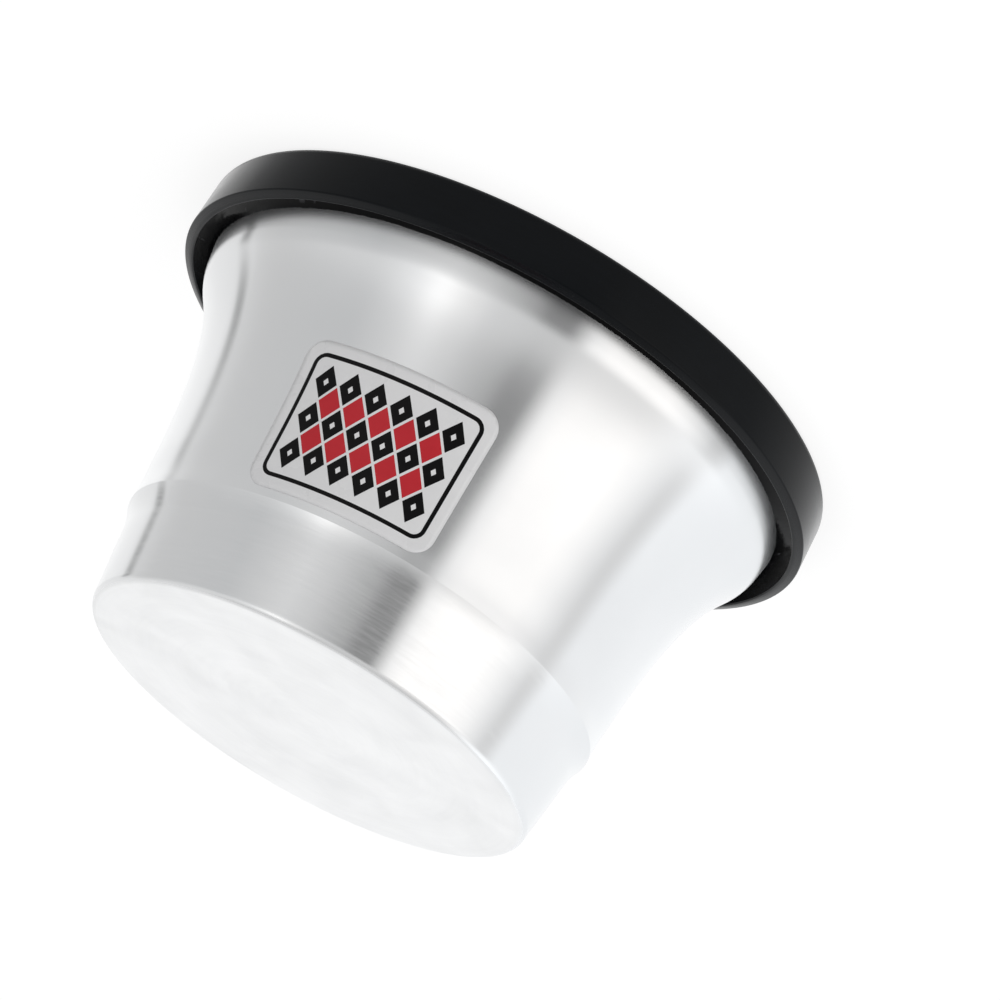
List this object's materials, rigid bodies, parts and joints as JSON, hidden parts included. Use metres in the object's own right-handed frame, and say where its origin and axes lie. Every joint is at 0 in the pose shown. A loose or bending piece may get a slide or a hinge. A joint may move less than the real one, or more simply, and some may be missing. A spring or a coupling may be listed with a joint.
{
  "type": "plunger mute",
  "caption": "Spun metal plunger mute for a brass instrument: a cup with a flat closed crown, a flared wall and a black rubber edge ring round the mouth.",
  "frame": {"origin": "centre of the mouth plane, which is the flat land of the rubber edge ring", "axes": "+Z along the mute's axis, from the mouth to the closed crown"},
  "size_m": [0.135, 0.135, 0.084],
  "materials": {
    "aluminium": "spun satin with fine turning marks",
    "rubber": "moulded black, satin",
    "adhesive": "cured, wet looking, slightly wrinkled",
    "label": "printed vinyl film, semi-gloss"
  },
  "bodies": {
    "root": {"cup_shell": "aluminium", "rim_trim": "rubber", "trim_adhesive": "adhesive", "label": "label"}
  },
  "joints": []
}
